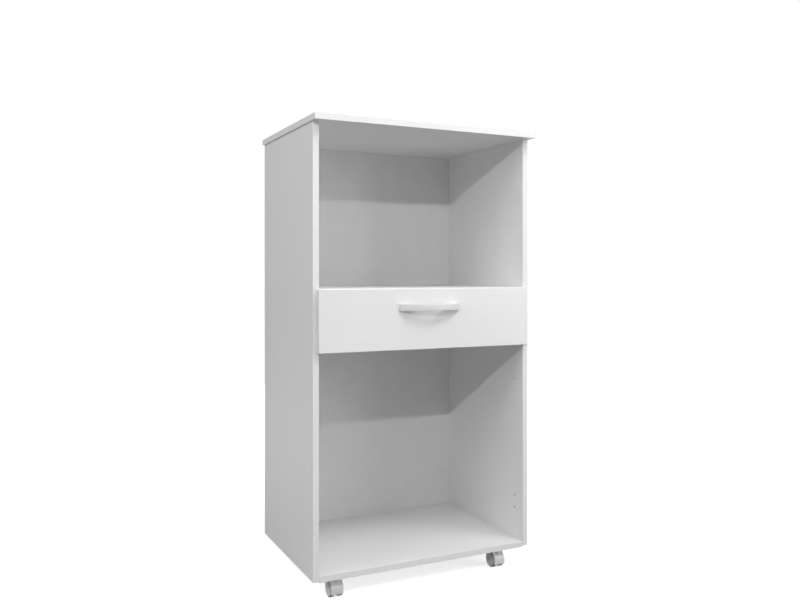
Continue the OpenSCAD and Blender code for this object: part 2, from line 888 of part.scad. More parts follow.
module castor_plate(side, row) {
    corner_r = 5;
    color("silver") at_castor(side, row) difference() {
        union() {
            translate([-plate_w / 2, -plate_w / 2, -plate_t]) linear_extrude(plate_t)
                round_rect([plate_w, plate_w], corner_r);
            translate([0, 0, -plate_t - dish_drop])
                cylinder(h = dish_drop + plate_t, d = dish_d);
        }
        translate([0, 0, -dish_drop]) cylinder(h = dish_drop + cut, d = dish_d - 2 * plate_t);
        translate([0, 0, -plate_t - dish_drop - cut])
            cylinder(h = plate_t + 2 * cut, d = swivel_d + 2 * seat_fit);
        at_plate_screws() translate([0, 0, -plate_t - cut])
            cylinder(h = plate_t + 2 * cut, d = plate_screw_d + 4 * seat_fit);
    }
}

module castor_screws() {
    color("silver") for (side = [LEFT, RIGHT], row = [FRONT, REAR]) at_castor(side, row)
        at_plate_screws() {
            translate([0, 0, -plate_t])
                cylinder(h = plate_t + plate_screw_in, d = plate_screw_d - 2 * seat_fit);
            translate([0, 0, -plate_t - plate_head_t])
                cylinder(h = plate_head_t, d1 = plate_head_top_d, d2 = plate_head_d);
        }
}

module castor_pin(side, row) {
    head_t = dish_drop + pin_head_v;
    color("silver") at_castor(side, row) {
        translate([0, 0, -dish_drop]) cylinder(h = head_t, d = dish_d - 2 * plate_t - 2 * pin_head_play);
        translate([0, 0, swivel_end_v]) cylinder(h = -dish_drop - swivel_end_v, d = swivel_d);
    }
}

// Moves what is drawn about an axle along X to the castor's axle
module at_axle(side, row) {
    at_castor(side, row) translate([0, castor_offset, axle_v]) children();
}

// The hood's section: x is the radius, y the place along the axle
module hood_section() {
    half = hood_w / 2;
    overlap = 1;
    intersection() {
        translate([0, -half]) round_rect([hood_r, 2 * half], hood_round);
        translate([well_r - overlap, -half]) square([hood_t + overlap, 2 * half]);
    }
}

module castor_housing(side, row) {
    hood_sweep = 180 + hood_front_angle - hood_rear_angle;
    rear_cut = 1;
    color("whitesmoke") difference() {
        union() {
            at_axle(side, row) {
                rotate([0, 90, 0]) rotate(90 + hood_rear_angle)
                    rotate_extrude(angle = hood_sweep, $fn = 96) hood_section();
                intersection() {
                    rod_x(-web_half, 2 * web_half, 2 * (well_r + hood_t / 2));
                    translate([-web_half - cut, -hood_r, -hub_r])
                        cube([2 * (web_half + cut), hood_r + wheel_r - rear_cut, hood_r + hub_r]);
                }
            }
            at_castor(side, row) translate([0, 0, neck_end_v])
                cylinder(h = neck_v - neck_end_v, d = neck_d);
        }
        at_axle(side, row) {
            for (s = [0, 1]) mirror([s, 0, 0]) rod_x(web_half, castor_w, 2 * well_r);
            rod_x(-castor_w, 2 * castor_w, axle_d + 2 * seat_fit);
        }
        at_castor(side, row) translate([0, 0, swivel_end_v - end_room])
            cylinder(h = neck_v - swivel_end_v + end_room + cut, d = swivel_d + 2 * run_fit);
    }
}

module castor_axle(side, row) {
    half = wheel_out - hub_wall - end_room;
    color("silver") at_axle(side, row) rod_x(-half, 2 * half, axle_d);
}

// Half of a wheel's section: x is the radius, y the distance from the castor's middle
module wheel_section() {
    rim_edge = wheel_out - dome_h;
    dome_r = (core_r * core_r + dome_h * dome_h) / (2 * dome_h);
    difference() {
        union() {
            translate([0, wheel_in]) square([core_r, rim_edge - wheel_in]);
            intersection() {
                translate([0, wheel_out - dome_r]) circle(dome_r, $fn = 240);
                translate([0, rim_edge]) square([core_r, dome_h]);
            }
        }
        translate([hub_r, wheel_in - cut])
            square([core_r - rim_wall - hub_r, rim_edge - wheel_in - hub_wall + cut]);
        translate([0, wheel_in - cut])
            square([axle_d / 2 + run_fit, wheel_out - hub_wall - wheel_in + cut]);
    }
}

module tread_section() {
    tread_round = 0.8;
    shoulder = 0.4;
    ring_play = 0.02;
    width = wheel_out - dome_h - shoulder - tread_gap / 2;
    intersection() {
        translate([0, tread_gap / 2]) round_rect([wheel_r, width], tread_round);
        translate([core_r + ring_play, 0]) square([tread_t, wheel_out]);
    }
}

// One wheel, with its tread ring. side_out is -1 or 1, the end of the axle that carries it.
module castor_wheel(side, row, side_out) {
    rib_root = 0.5;
    rib_l = core_r - rim_wall / 2 - hub_r + rib_root;
    rib_w = wheel_out - dome_h - wheel_in - hub_wall;
    color("whitesmoke") at_axle(side, row) mirror([side_out == 1 ? 0 : 1, 0, 0])
        rotate([0, 90, 0]) {
            rotate_extrude($fn = 96) wheel_section();
            for (i = [0 : ribs - 1]) rotate(i * 360 / ribs)
                translate([hub_r - rib_root, -rib_t / 2, wheel_in])
                    cube([rib_l, rib_t, rib_w + rib_root]);
        }
    color("dimgray") at_axle(side, row) mirror([side_out == 1 ? 0 : 1, 0, 0])
        rotate([0, 90, 0]) rotate_extrude($fn = 96) tread_section();
}

top_board();
left_side();
right_side();
bottom_board();
microwave_shelf();
back_panel();
back_nails();
cam_locks();
cam_bolts();
cam_caps();
dowels();
left_cabinet_rail();
right_cabinet_rail();
cabinet_rail_screws();
cabinet_roller_pins();
drawer_front();
drawer_left_side();
drawer_right_side();
drawer_back();
drawer_bottom();
drawer_cam_locks();
drawer_cam_bolts();
drawer_back_screws();
drawer_bumpers();
drawer_handle();
handle_screws();
left_drawer_rail();
right_drawer_rail();
drawer_rail_screws();
drawer_roller_pins();
left_front_roller();
right_front_roller();
left_rear_roller();
right_rear_roller();
castor_screws();
castor_plate(LEFT, FRONT);  // front_left_castor_plate
castor_pin(LEFT, FRONT);  // front_left_castor_pin
castor_housing(LEFT, FRONT);  // front_left_castor_housing
castor_axle(LEFT, FRONT);  // front_left_castor_axle
castor_wheel(LEFT, FRONT, -1);  // front_left_castor_outer_wheel
castor_wheel(LEFT, FRONT, 1);  // front_left_castor_inner_wheel
castor_plate(RIGHT, FRONT);  // front_right_castor_plate
castor_pin(RIGHT, FRONT);  // front_right_castor_pin
castor_housing(RIGHT, FRONT);  // front_right_castor_housing
castor_axle(RIGHT, FRONT);  // front_right_castor_axle
castor_wheel(RIGHT, FRONT, 1);  // front_right_castor_outer_wheel
castor_wheel(RIGHT, FRONT, -1);  // front_right_castor_inner_wheel
castor_plate(LEFT, REAR);  // rear_left_castor_plate
castor_pin(LEFT, REAR);  // rear_left_castor_pin
castor_housing(LEFT, REAR);  // rear_left_castor_housing
castor_axle(LEFT, REAR);  // rear_left_castor_axle
castor_wheel(LEFT, REAR, -1);  // rear_left_castor_outer_wheel
castor_wheel(LEFT, REAR, 1);  // rear_left_castor_inner_wheel
castor_plate(RIGHT, REAR);  // rear_right_castor_plate
castor_pin(RIGHT, REAR);  // rear_right_castor_pin
castor_housing(RIGHT, REAR);  // rear_right_castor_housing
castor_axle(RIGHT, REAR);  // rear_right_castor_axle
castor_wheel(RIGHT, REAR, 1);  // rear_right_castor_outer_wheel
castor_wheel(RIGHT, REAR, -1);  // rear_right_castor_inner_wheel
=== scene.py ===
# %% [markdown]
# # A rolling kitchen rack
#
# The rack is a tall white cabinet on four castors, with an open bay above, a drawer in the middle
# and an open bay below. Its boards, rails and castors arrive finished in shape. This lesson gives
# every surface its finish, models the small pieces whose look depends on soft edges, and then
# lights and frames the rack as a studio photograph.

import json
from math import pi, radians

import bmesh
import bpy
from mathutils import Matrix, Vector


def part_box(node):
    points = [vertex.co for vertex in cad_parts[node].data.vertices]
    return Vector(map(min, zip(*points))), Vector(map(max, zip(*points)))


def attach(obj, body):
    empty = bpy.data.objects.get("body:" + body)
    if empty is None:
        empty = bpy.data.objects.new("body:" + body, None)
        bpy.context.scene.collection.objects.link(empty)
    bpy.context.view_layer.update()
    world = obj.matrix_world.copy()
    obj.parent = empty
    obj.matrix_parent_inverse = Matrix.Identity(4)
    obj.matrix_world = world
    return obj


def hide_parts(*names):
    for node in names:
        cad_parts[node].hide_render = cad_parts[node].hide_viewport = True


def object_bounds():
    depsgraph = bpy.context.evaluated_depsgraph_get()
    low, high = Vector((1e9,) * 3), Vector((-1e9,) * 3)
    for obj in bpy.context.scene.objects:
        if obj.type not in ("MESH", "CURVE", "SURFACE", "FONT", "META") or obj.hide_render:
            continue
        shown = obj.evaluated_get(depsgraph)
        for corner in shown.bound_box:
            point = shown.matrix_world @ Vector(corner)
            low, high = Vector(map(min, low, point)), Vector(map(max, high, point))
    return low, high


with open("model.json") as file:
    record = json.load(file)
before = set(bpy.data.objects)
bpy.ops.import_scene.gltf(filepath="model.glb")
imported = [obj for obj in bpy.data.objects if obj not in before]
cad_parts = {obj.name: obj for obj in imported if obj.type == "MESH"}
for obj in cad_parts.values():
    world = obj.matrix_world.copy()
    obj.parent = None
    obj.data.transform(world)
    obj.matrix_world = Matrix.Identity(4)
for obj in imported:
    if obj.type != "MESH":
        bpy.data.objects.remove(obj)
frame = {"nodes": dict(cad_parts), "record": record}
cad_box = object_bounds()
nodes = frame["nodes"]
MM = 0.001
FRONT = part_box("left_side")[0].y
FLOOR_Z = cad_box[0][2]
print("pieces in the frame:", len(nodes))
print("width, depth, height in mm:", [round((b - a) / MM, 1) for a, b in zip(*cad_box)])

# %% [markdown]
# ## Patterns over a surface
#
# Every finish here is a Principled shader whose colour, roughness and bump come from patterns. A
# pattern is a chain of nodes that gives each point of the surface a number. It starts from the
# object's own coordinates, in metres. Building each chain by hand would repeat the same dozen
# lines, so one small class holds the node tree and adds one pattern at a time.


# %% Patterns over a surface
class Patterns:
    """Patterns in one node tree, each of them a number for every point of a surface."""

    def __init__(self, tree):
        self.tree = tree
        self.place = tree.nodes.new("ShaderNodeTexCoord").outputs["Object"]

    def link(self, source, target):
        """Joins another node's output to an input, or sets the input to a plain value."""
        if isinstance(source, bpy.types.NodeSocket):
            self.tree.links.new(source, target)
        else:
            target.default_value = source

    def math(self, operation, first, second=0.0):
        """A calculation with one or two patterns or plain numbers."""
        node = self.tree.nodes.new("ShaderNodeMath")
        node.operation = operation
        for socket, value in zip(node.inputs, (first, second)):
            self.link(value, socket)
        return node.outputs[0]

    def axis(self, letter):
        """One of the object's own coordinates."""
        node = self.tree.nodes.new("ShaderNodeSeparateXYZ")
        self.link(self.place, node.inputs[0])
        return node.outputs[letter]

    def radius(self, first, second):
        """The distance that two offsets at right angles make together."""
        squares = self.math("ADD", self.math("POWER", first, 2.0), self.math("POWER", second, 2.0))
        return self.math("SQRT", squares)

    def stretched(self, scale):
        """The object's coordinates, stretched along each axis."""
        node = self.tree.nodes.new("ShaderNodeMapping")
        node.inputs["Scale"].default_value = scale
        self.link(self.place, node.inputs["Vector"])
        return node.outputs["Vector"]

    def noise(self, grain, detail=2.0, stretch=(1, 1, 1)):
        """Noise with features about grain metres long."""
        node = self.tree.nodes.new("ShaderNodeTexNoise")
        node.inputs["Scale"].default_value = 1.0 / grain
        node.inputs["Detail"].default_value = detail
        self.link(self.stretched(stretch), node.inputs["Vector"])
        return node.outputs["Fac"]

    def cells(self, grain, stretch=(1, 1, 1)):
        """Voronoi cells about grain metres wide. Gives their distance and their colour."""
        node = self.tree.nodes.new("ShaderNodeTexVoronoi")
        node.inputs["Scale"].default_value = 1.0 / grain
        self.link(self.stretched(stretch), node.inputs["Vector"])
        return node.outputs["Distance"], node.outputs["Color"]

    def ramp(self, value, low, high):
        """Maps low..high to 0..1, smoothly and clamped."""
        node = self.tree.nodes.new("ShaderNodeMapRange")
        node.interpolation_type = "SMOOTHSTEP"
        self.link(value, node.inputs["Value"])
        node.inputs["From Min"].default_value = low
        node.inputs["From Max"].default_value = high
        return node.outputs["Result"]

    def near(self, value, centre, half, soft):
        """1 where value lies within half of centre, falling to 0 over soft."""
        away = self.math("ABSOLUTE", self.math("SUBTRACT", value, centre))
        return self.ramp(away, half + soft, half)


print("patterns ready: axis, radius, noise, cells, ramp, near")

# %% [markdown]
# ## From patterns to a finish
#
# A finish turns patterns into a look. A tint blends the colour towards another one, roughness makes
# the gloss uneven, and bump shades the surface as if it rose and fell. Each effect is laid over the
# ones before it, so a finish reads as a short list. A number that is the same all over stays on the
# shader's own socket, and only what varies over the surface is linked.


# %% The finish class
class Finish(Patterns):
    """A material under construction, which adds patterns to one Principled shader."""

    def __init__(self, name, base, roughness, **sockets):
        self.material = bpy.data.materials.new(name)
        self.material.use_nodes = True
        super().__init__(self.material.node_tree)
        self.shader = self.tree.nodes["Principled BSDF"]
        self.colour = (*base, 1.0)
        self.normal = None
        self.shader.inputs["Base Color"].default_value = self.colour
        self.shader.inputs["Roughness"].default_value = roughness
        for socket, value in sockets.items():
            self.shader.inputs[socket.replace("_", " ")].default_value = value

    def tint(self, mask, colour):
        """Blends the colour so far towards another one."""
        node = self.tree.nodes.new("ShaderNodeMix")
        node.data_type = "RGBA"
        self.link(mask, node.inputs["Factor"])
        self.link(self.colour, node.inputs["A"])
        node.inputs["B"].default_value = (*colour, 1.0)
        self.colour = node.outputs["Result"]
        self.link(self.colour, self.shader.inputs["Base Color"])

    def cloud(self, grain, colour, detail=2.0, low=0.3, high=0.8):
        """Lets the colour drift towards another one in soft clouds, grain metres long."""
        self.tint(self.ramp(self.noise(grain, detail), low, high), colour)

    def rough(self, mask, smooth, coarse):
        """Roughness from smooth, where the mask is 0, to coarse, where it is 1."""
        node = self.tree.nodes.new("ShaderNodeMapRange")
        self.link(mask, node.inputs["Value"])
        node.inputs["To Min"].default_value = smooth
        node.inputs["To Max"].default_value = coarse
        self.link(node.outputs["Result"], self.shader.inputs["Roughness"])

    def bump(self, height, depth):
        """Raises the surface by the height pattern, depth metres from low to high."""
        node = self.tree.nodes.new("ShaderNodeBump")
        node.inputs["Distance"].default_value = depth
        self.link(height, node.inputs["Height"])
        if self.normal is not None:
            self.link(self.normal, node.inputs["Normal"])
        self.normal = node.outputs["Normal"]
        self.link(self.normal, self.shader.inputs["Normal"])

    def to(self, *names):
        """Gives the finish to these pieces of the frame."""
        for name in names:
            slots = nodes[name].material_slots
            for slot in slots:
                slot.material = self.material
            if not slots:
                nodes[name].data.materials.append(self.material)


print("effects ready: tint, cloud, rough, bump")

# %% [markdown]
# ## Melamine board
#
# The boards are chipboard under a white melamine film. The film is pressed against a plate with a
# very fine pearl texture, so highlights on it are broad and slightly broken. A glued edge band
# covers the cut edges that show, and a hair-thin joint line runs along it on both faces. Where a
# hole was drilled, the raw chips show. Chips are flat flakes of many browns, which Voronoi cells
# imitate well, because each cell has one flat colour.

# %% Melamine board
WHITE = (0.80, 0.80, 0.80)
BAND = 0.8 * MM
SEAM = 0.12 * MM
SEAM_GREY = (0.55, 0.54, 0.52)
CHIP_DARK = (0.44, 0.32, 0.21)
CHIP_LIGHT = (0.72, 0.60, 0.45)


def add_pearl(finish, smooth, coarse):
    """The pearl texture of the film, with slow changes in colour and gloss."""
    pearl = finish.noise(0.9 * MM, 1.5)
    finish.cloud(180 * MM, [0.975 * c for c in WHITE], 3.0, 0.25, 0.85)
    finish.rough(finish.noise(6 * MM, 3.0), smooth, coarse)
    finish.bump(pearl, 0.03 * MM)


def add_seam(finish, letter, place):
    """The joint line of an edge band, at one place along an axis."""
    line = finish.near(finish.axis(letter), place, SEAM / 2, SEAM)
    finish.tint(finish.math("MULTIPLY", line, 0.4), SEAM_GREY)
    finish.bump(finish.math("SUBTRACT", 1.0, line), 0.05 * MM)


def add_chips(finish, mask):
    """Raw chipboard where the mask is 1."""
    distance, flakes = finish.cells(1.6 * MM, (1, 0.45, 1))
    shade = finish.tree.nodes.new("ShaderNodeSeparateColor")
    finish.link(flakes, shade.inputs["Color"])
    finish.tint(mask, CHIP_DARK)
    finish.tint(finish.math("MULTIPLY", mask, shade.outputs["Red"]), CHIP_LIGHT)
    finish.bump(finish.math("MULTIPLY", mask, distance), 0.4 * MM)


def board(name, *names):
    """The board finish on these pieces, still without its joint lines."""
    finish = Finish(name, WHITE, 0.42, IOR=1.5)
    add_pearl(finish, 0.36, 0.5)
    finish.to(*names)
    return finish


cross_boards = board("melamine_cross_boards", "microwave_shelf", "bottom_board")
add_seam(cross_boards, "Y", FRONT + BAND)
print("melamine on the cross boards, joint line at", round((FRONT + BAND) / MM, 2), "mm")

# %% [markdown]
# ## Side panels
#
# The side panels have the same film, with a band on their front edges only. Their lower ends are
# left raw, as on most flat-pack furniture, because nobody sees them. The drilled holes for hinge
# plates show raw chips too. The holes come in two pairs, so folding the height about the middle
# of the four holes, and then about the middle of a pair, reduces them to one hole.

# %% Side panels
frame_mounts = {m["name"]: m for m in frame["record"]["mounts"]}
lower_pair = frame_mounts["left_lower_hinge_holes"]
upper_pair = frame_mounts["left_upper_hinge_holes"]
pair_low, pair_high = lower_pair["pos_m"][2], upper_pair["pos_m"][2]
hole_y = lower_pair["pos_m"][1]
hole_gap = lower_pair["dims"]["spacing_y_mm"] * MM
hole_r = lower_pair["dims"]["hole_r_mm"] * MM
FILM = 0.2 * MM
RAW_RIM = 0.15 * MM
RAW_END = 0.3 * MM

sides = board("melamine_side_panels", "left_side", "right_side")
add_seam(sides, "Y", FRONT + BAND)


def hole_mask(finish):
    """1 inside the drilled holes for the hinge plates."""
    up = finish.math("SUBTRACT", finish.axis("Z"), (pair_low + pair_high) / 2)
    for fold in ((pair_high - pair_low) / 2, hole_gap / 2):
        up = finish.math("SUBTRACT", finish.math("ABSOLUTE", up), fold)
    back = finish.math("SUBTRACT", finish.axis("Y"), hole_y)
    return finish.ramp(finish.radius(up, back), hole_r + RAW_RIM, hole_r)


from_middle = sides.math("ABSOLUTE", sides.axis("X"))
inner_face, outer_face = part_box("right_side")[0].x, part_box("right_side")[1].x
within = sides.near(from_middle, (inner_face + outer_face) / 2,
                    (outer_face - inner_face) / 2 - FILM, RAW_RIM)
side_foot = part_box("left_side")[0].z
raw_ends = sides.ramp(sides.axis("Z"), side_foot + RAW_END, side_foot)
raw = sides.math("MAXIMUM", sides.math("MULTIPLY", hole_mask(sides), within), raw_ends)
add_chips(sides, raw)
print("hinge-plate holes at", [round(z / MM) for z in (pair_low, pair_high)], "mm up")

# %% [markdown]
# ## Top board and drawer front
#
# The top board carries a band on all four edges, so it has a joint line along each of them. The
# drawer front is wrapped in foil with soft edges and has no joint lines. Its foil is a little
# smoother, and a faint long wave in it comes from the wrapping rollers.

# %% Top board and drawer front
top = board("melamine_top_board", "top_board")
low_corner, high_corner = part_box("top_board")
for letter, low, high in (("X", low_corner.x, high_corner.x), ("Y", low_corner.y, high_corner.y)):
    add_seam(top, letter, low + BAND)
    add_seam(top, letter, high - BAND)

foil = Finish("foil_drawer_front", (0.81, 0.81, 0.81), 0.36, IOR=1.5)
add_pearl(foil, 0.31, 0.42)
foil.bump(foil.noise(60 * MM, 1.0, (0.3, 1, 1)), 0.05 * MM)
foil.to("drawer_front")
print("top board joint lines inset by", BAND / MM, "mm")

# %% [markdown]
# ## Drawer box
#
# The drawer's sides and back are thinner chipboard under a matt printed paper. The paper shows the
# chips below as a very faint mottle, which two sizes of noise give. Their top edges are wrapped,
# and their rear ends are cut raw.

# %% Drawer box
paper = Finish("paper_drawer_box", (0.79, 0.79, 0.78), 0.6, IOR=1.45)
paper.cloud(9 * MM, (0.76, 0.76, 0.745), 3.0, 0.35, 0.75)
paper.rough(paper.noise(3 * MM), 0.52, 0.68)
paper.bump(paper.noise(1.4 * MM, 2.0), 0.04 * MM)
drawer_back_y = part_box("drawer_left_side")[1].y
add_chips(paper, paper.ramp(paper.axis("Y"), drawer_back_y - RAW_END, drawer_back_y))
paper.to("drawer_left_side", "drawer_right_side", "drawer_back")
print("drawer sides end at", round(drawer_back_y / MM, 1), "mm")

# %% [markdown]
# ## Hardboard panels
#
# The back panel and the drawer bottom are thin hardboard. The drawer bottom is lacquered white on
# both faces, because its underside is the ceiling of the lower bay. The back panel is white on its
# front only. Behind, it is bare pressed fibre, brown and finely felted, with the faint mark of the
# press screen. A mask on the thickness keeps the white to a skin on each lacquered face, so the
# edges stay brown as on a sawn sheet.

# %% Hardboard panels
FIBRE = (0.30, 0.17, 0.085)
FIBRE_LIGHT = (0.42, 0.26, 0.14)
SKIN = 0.25 * MM


def hardboard(name, letter, middle, half, *names):
    """White, but bare fibre where the coordinate lies within half of the middle."""
    finish = Finish(name, (0.79, 0.79, 0.785), 0.45, IOR=1.5)
    bare = finish.near(finish.axis(letter), middle, half, SKIN / 2)
    felt = finish.noise(2.5 * MM, 6.0)
    screen, _ = finish.cells(1.1 * MM)
    finish.cloud(40 * MM, (0.765, 0.765, 0.76), 2.0, 0.2, 0.9)
    finish.tint(bare, FIBRE)
    finish.tint(finish.math("MULTIPLY", bare, finish.ramp(felt, 0.4, 0.75)), FIBRE_LIGHT)
    finish.rough(bare, 0.44, 0.8)
    finish.bump(finish.noise(1.8 * MM, 2.0), 0.03 * MM)
    finish.bump(finish.math("MULTIPLY", bare, finish.math("ADD", felt, screen)), 0.15 * MM)
    finish.to(*names)


back_face, bare_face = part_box("back_panel")[0].y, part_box("back_panel")[1].y
sheet_low, sheet_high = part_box("drawer_bottom")[0].z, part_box("drawer_bottom")[1].z
sheet_t = bare_face - back_face
hardboard("hardboard_back", "Y", bare_face, sheet_t - 1.5 * SKIN, "back_panel")
hardboard("hardboard_drawer_bottom", "Z", (sheet_low + sheet_high) / 2,
          (sheet_high - sheet_low) / 2 - 1.5 * SKIN, "drawer_bottom")
print("hardboard", round(sheet_t / MM, 1), "mm thick, white skin", SKIN / MM, "mm")

# %% [markdown]
# ## Metals
#
# Screws, pins, axles and mounting plates are zinc-plated steel: bright, faintly blue, with a soft
# patchy haze and fine drawing marks. The cam locks are cast zinc alloy, which is duller and
# grainy. Metallic is 1 for both, and only the haze and the marks tell them apart.

# %% Metals
CORNERS = [f"{row}_{side}_castor" for row in ("front", "rear") for side in ("left", "right")]

plated = Finish("zinc_plated_steel", (0.66, 0.67, 0.69), 0.3, Metallic=1.0)
plated.cloud(7 * MM, (0.55, 0.56, 0.60), 4.0, 0.35, 0.8)
plated.rough(plated.noise(2 * MM, 3.0), 0.22, 0.42)
plated.bump(plated.noise(0.35 * MM, 2.0, (1, 1, 0.2)), 0.01 * MM)
plated.to("back_nails", "cam_bolts", "cabinet_roller_pins", "drawer_roller_pins",
          "drawer_cam_bolts")
for corner in CORNERS:
    plated.to(f"{corner}_plate", f"{corner}_pin", f"{corner}_axle")

cast = Finish("cast_zinc_cams", (0.58, 0.58, 0.59), 0.45, Metallic=1.0)
cast.cloud(1.2 * MM, (0.44, 0.44, 0.45), 3.0, 0.4, 0.7)
cast.rough(cast.noise(0.8 * MM, 2.0), 0.38, 0.6)
cast.bump(cast.noise(0.5 * MM, 3.0), 0.03 * MM)
cast.to("cam_locks", "drawer_cam_locks")
print("plated steel and cast zinc are on their pieces")

# %% [markdown]
# ## Powder coat on the rails
#
# The drawer rails are bent sheet with a white powder coat. Powder melts into a skin with a clear
# orange peel, about two millimetres from crest to crest. The rollers leave faint grey streaks
# along the rail. They lie only where the rollers run, and a mask on the distance from the middle of
# the rack keeps them there.

# %% Powder coat
STREAK_GREY = (0.5, 0.5, 0.5)

coat = Finish("white_powder_coat", (0.80, 0.80, 0.795), 0.32, IOR=1.5)
coat.bump(coat.noise(1.9 * MM, 1.0), 0.05 * MM)
coat.rough(coat.noise(5 * MM, 2.0), 0.26, 0.4)
roller_low, roller_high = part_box("left_front_roller")
run_x = (roller_low.x + roller_high.x) / 2
run_half = (roller_high.x - roller_low.x) / 2
across = coat.near(coat.math("ABSOLUTE", coat.axis("X")), -run_x, run_half, 0.6 * MM)
streaks = coat.ramp(coat.noise(3 * MM, 4.0, (1, 0.05, 1)), 0.35, 0.75)
coat.tint(coat.math("MULTIPLY", across, coat.math("MULTIPLY", streaks, 0.35)), STREAK_GREY)
coat.to("left_cabinet_rail", "right_cabinet_rail", "left_drawer_rail", "right_drawer_rail")
print("roller track centred", round(-run_x / MM, 1), "mm from the middle")

# %% [markdown]
# ## Plastics
#
# The castor housings are glossy bright white plastic. The caps over the cam locks are matt, in the
# white of the boards, so that they hardly show. The rollers are waxy nylon, and the handle is a
# satin light grey. Moulded plastic has a very even colour, with only a faint cloud from the way it
# flowed. The detail is in the gloss, where a small-grained noise gives fine handling marks.

# %% Plastics
gloss_white = Finish("gloss_white_plastic", (0.89, 0.89, 0.89), 0.3, IOR=1.5)
gloss_white.cloud(15 * MM, (0.865, 0.865, 0.86))
gloss_white.rough(gloss_white.noise(4 * MM, 4.0), 0.24, 0.38)
gloss_white.bump(gloss_white.noise(3 * MM, 1.0), 0.02 * MM)
gloss_white.to(*[f"{corner}_housing" for corner in CORNERS])

matt_white = Finish("matt_white_plastic", WHITE, 0.44, IOR=1.5)
matt_white.cloud(9 * MM, (0.785, 0.785, 0.785))
matt_white.rough(matt_white.noise(3 * MM, 3.0), 0.38, 0.5)
matt_white.bump(matt_white.noise(0.9 * MM, 1.5), 0.03 * MM)
matt_white.to("cam_caps")

nylon = Finish("white_nylon", (0.78, 0.78, 0.76), 0.4, IOR=1.52)
nylon.shader.inputs["Subsurface Weight"].default_value = 0.15
nylon.shader.inputs["Subsurface Scale"].default_value = 1.0 * MM
nylon.cloud(4 * MM, (0.74, 0.74, 0.715))
nylon.rough(nylon.noise(1.5 * MM, 3.0), 0.32, 0.5)
nylon.bump(nylon.noise(0.6 * MM, 1.0), 0.01 * MM)
nylon.to("left_front_roller", "right_front_roller", "left_rear_roller", "right_rear_roller")

satin = Finish("satin_grey_plastic", (0.70, 0.70, 0.70), 0.38, IOR=1.5)
satin.cloud(30 * MM, (0.675, 0.675, 0.675))
satin.rough(satin.noise(3 * MM, 3.0), 0.32, 0.46)
satin.bump(satin.noise(0.5 * MM, 2.0), 0.015 * MM)
print("plastics made: gloss white, matt white, nylon, satin grey")

# %% [markdown]
# ## Castor wheels
#
# Each wheel is a light plastic disc with a dark grey tread pressed round it. Both are one piece of
# the frame, so one finish has to hold both colours. The tread begins at a known radius, and a mask
# on the distance from the axle separates them. Each wheel gets a finish of its own, because its
# axle lies in a place of its own. The tread is matt and slightly scuffed round its running face.

# %% Castor wheels
WHEEL_R = (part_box("front_left_castor_outer_wheel")[1].z - FLOOR_Z) / 2
TREAD_DEPTH = 1.99 * MM
TREAD_R = WHEEL_R - TREAD_DEPTH
TREAD_EDGE = 0.02 * MM
SCUFF_DEPTH = 0.4 * MM
TREAD_GREY = (0.085, 0.085, 0.09)
SCUFF_GREY = (0.2, 0.195, 0.19)


def wheel_finish(corner, which):
    """Light plastic with a dark tread, for one of a castor's two wheels."""
    name = f"{corner}_{which}_wheel"
    low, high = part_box(name)
    finish = Finish(f"plastic_{name}", (0.85, 0.85, 0.85), 0.34, IOR=1.5)
    back = finish.math("SUBTRACT", finish.axis("Y"), (low.y + high.y) / 2)
    up = finish.math("SUBTRACT", finish.axis("Z"), (low.z + high.z) / 2)
    radius = finish.radius(back, up)
    tread = finish.ramp(radius, TREAD_R - TREAD_EDGE, TREAD_R + TREAD_EDGE)
    scuff = finish.ramp(finish.noise(2.2 * MM, 5.0), 0.45, 0.7)
    worn = finish.math("MULTIPLY", finish.ramp(radius, WHEEL_R - SCUFF_DEPTH, WHEEL_R), scuff)
    finish.cloud(12 * MM, (0.82, 0.82, 0.815))
    finish.tint(tread, TREAD_GREY)
    finish.tint(finish.math("MULTIPLY", worn, 0.5), SCUFF_GREY)
    finish.rough(tread, 0.32, 0.7)
    finish.bump(finish.noise(0.8 * MM, 2.0), 0.02 * MM)
    finish.to(name)


for corner in CORNERS:
    wheel_finish(corner, "outer")
    wheel_finish(corner, "inner")
print("wheel radius", round(WHEEL_R / MM, 1), "mm, tread from", round(TREAD_R / MM, 2), "mm")

# %% [markdown]
# ## Dowels and bumper pads
#
# The dowels are beech, with long pores along the pin. They are hidden in the joints, but a reader
# may take the rack apart. The bumper pads behind the drawer front are soft clear plastic, so they
# pass some light.

# %% Dowels and pads
beech = Finish("beech_dowels", (0.62, 0.43, 0.27), 0.6, IOR=1.45)
pores = beech.noise(1.2 * MM, 4.0, (0.12, 1, 1))
beech.tint(beech.ramp(pores, 0.4, 0.75), (0.47, 0.30, 0.17))
beech.rough(pores, 0.5, 0.72)
beech.bump(pores, 0.05 * MM)
beech.to("dowels")

pad = Finish("clear_pads", (0.80, 0.80, 0.78), 0.25, IOR=1.45, Transmission_Weight=0.5)
pad.rough(pad.noise(1 * MM, 2.0), 0.2, 0.35)
pad.bump(pad.noise(0.7 * MM, 1.0), 0.02 * MM)
pad.to("drawer_bumpers")
print("beech and clear pads are on their pieces")

# %% [markdown]
# ## Copies with soft edges
#
# The frame's pieces have crisp edges, as a drawing has. Real edges are rounded, and highlights live
# on them. A frame piece is never changed itself, so a copy of its mesh is merged, which makes its
# triangles share their points, and the edges that should be soft are rounded on the copy. The copy
# then stands for the frame's piece. An operator acts on all that is selected, and loading leaves
# every frame piece selected, so everything is deselected first.


# %% Helpers for pieces
MERGE = 0.001 * MM
SHARP_ANGLE = radians(30)
SMOOTH_ANGLE = radians(40)


def deselect_all():
    """Leaves no object selected."""
    for thing in bpy.context.selected_objects:
        thing.select_set(False)


def make_active(thing):
    """Makes one object the only one that the next operators act on."""
    deselect_all()
    thing.hide_set(False)
    thing.select_set(True)
    bpy.context.view_layer.objects.active = thing


